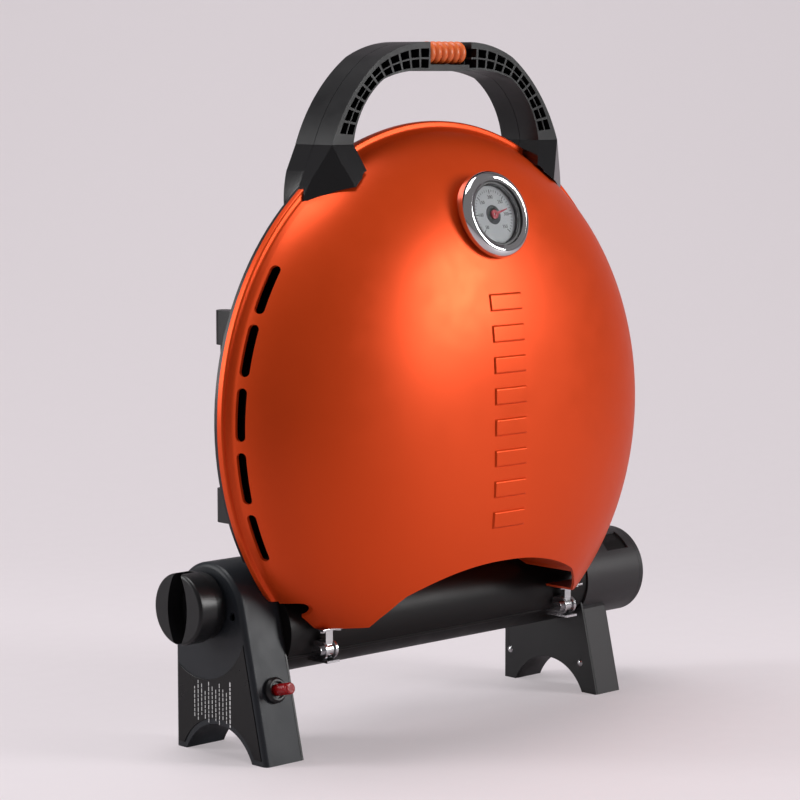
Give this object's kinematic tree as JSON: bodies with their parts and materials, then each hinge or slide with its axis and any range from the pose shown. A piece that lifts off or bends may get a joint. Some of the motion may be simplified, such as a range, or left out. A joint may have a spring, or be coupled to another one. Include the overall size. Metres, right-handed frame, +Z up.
{
  "type": "portable tabletop grill",
  "caption": "Portable gas grill with a round clamshell body that stands upright on two leg housings joined by a gas tube, with a split carrying handle on top.",
  "frame": {"origin": "on the floor under the middle of the gas tube, in the lid middle plane", "axes": "+X along the gas tube to the cartridge end, +Y to the bowl side (back), +Z up"},
  "size_m": [0.5166, 0.2172, 0.5984],
  "materials": {
    "lid_paint": "satin orange heat-resistant paint",
    "bowl_enamel": "satin black enamel",
    "housing_plastic": "dark grey moulded plastic",
    "sleeve_plastic": "dark warm-grey moulded plastic",
    "cover_plastic": "black moulded plastic",
    "tube_paint": "satin black powder coat",
    "label": "matt black plate",
    "knob_plastic": "black moulded plastic",
    "bright_steel": "zinc-plated steel",
    "bezel_chrome": "polished chrome",
    "grip_plastic": "matt charcoal plastic",
    "socket_plastic": "glossy black plastic",
    "slider_plastic": "orange plastic",
    "button_plastic": "translucent red plastic",
    "dial_face": "white printed dial",
    "glass": "clear glass",
    "needle_paint": "red paint",
    "cast_iron": "porcelain-enamelled cast iron",
    "burner_steel": "stainless steel",
    "brass": "brass",
    "ceramic": "glazed ceramic",
    "rubber": "black rubber",
    "tray_steel": "steel"
  },
  "bodies": {
    "base": {"base_bowl": "bowl_enamel", "base_handle": "grip_plastic", "base_socket_left": "socket_plastic", "base_socket_right": "socket_plastic", "bowl_saddle": "tube_paint", "burner": "burner_steel", "burner_pipe": "burner_steel", "cooking_grate": "cast_iron", "drip_tray": "tray_steel", "gas_hose": "rubber", "gas_tube": "tube_paint", "gas_valve": "brass", "hinge_bracket_left": "bright_steel", "hinge_bracket_right": "bright_steel", "hinge_pins": "bright_steel", "igniter_barrel": "cover_plastic", "igniter_nut": "cover_plastic", "ignition_cable": "rubber", "label_plate": "label", "left_leg_cover": "cover_plastic", "left_leg_housing": "housing_plastic", "leg_knuckles_left": "cover_plastic", "leg_knuckles_right": "cover_plastic", "leg_screws": "bright_steel", "regulator": "brass", "right_leg_cover": "cover_plastic", "right_leg_housing": "sleeve_plastic", "spark_electrode": "ceramic"},
    "lid": {"lid_shell": "lid_paint", "hinge_arm_left": "bright_steel", "hinge_arm_right": "bright_steel", "hinge_screws": "bright_steel", "lid_socket_left": "socket_plastic", "lid_socket_right": "socket_plastic", "lid_handle": "grip_plastic", "gauge_bezel": "bezel_chrome", "gauge_housing": "cover_plastic", "gauge_dial": "dial_face", "gauge_stem": "burner_steel", "gauge_glass": "glass"},
    "latch": {"latch_slider": "slider_plastic"},
    "needle": {"gauge_needle": "needle_paint"},
    "spindle": {"valve_spindle": "burner_steel"},
    "knob": {"control_knob": "knob_plastic"},
    "igniter": {"igniter_button": "button_plastic"},
    "cap": {"cartridge_cap": "sleeve_plastic"},
    "leg_left": {"folding_leg_left": "tube_paint", "leg_sleeve_left": "rubber"},
    "leg_right": {"folding_leg_right": "tube_paint", "leg_sleeve_right": "rubber"}
  },
  "joints": [
    {"name": "lid_hinge", "type": "hinge", "parent": "base", "child": "lid", "pos_m": [0, -0.048, 0.088], "axis": [1, 0, 0], "range_deg": [0, 95]},
    {"name": "latch_slide", "type": "slide", "parent": "lid", "child": "latch", "axis": [1, 0, 0], "range_m": [0, 0.005]},
    {"name": "needle_turn", "type": "hinge", "parent": "lid", "child": "needle", "pos_m": [0, -0.0945, 0.45], "axis": [0, -0.9563, 0.2924], "range_deg": [-240, 0]},
    {"name": "knob_push", "type": "slide", "parent": "base", "child": "spindle", "axis": [1, 0, 0], "range_m": [0, 0.003]},
    {"name": "knob_turn", "type": "hinge", "parent": "spindle", "child": "knob", "pos_m": [-0.24, 0.019, 0.127], "axis": [1, 0, 0], "range_deg": [0, 180]},
    {"name": "igniter_push", "type": "slide", "parent": "base", "child": "igniter", "axis": [0, 0.9724, -0.2334], "range_m": [0, 0.005]},
    {"name": "cap_turn", "type": "hinge", "parent": "base", "child": "cap", "pos_m": [0.25, -0.004, 0.1038], "axis": [1, 0, 0], "range_deg": [0, 45]},
    {"name": "leg_fold_left", "type": "hinge", "parent": "base", "child": "leg_left", "pos_m": [-0.141, 0.088, 0.274], "axis": [0, 0, 1], "range_deg": [0, 140]},
    {"name": "leg_fold_right", "type": "hinge", "parent": "base", "child": "leg_right", "pos_m": [0.141, 0.088, 0.274], "axis": [0, 0, -1], "range_deg": [0, 140]}
  ]
}
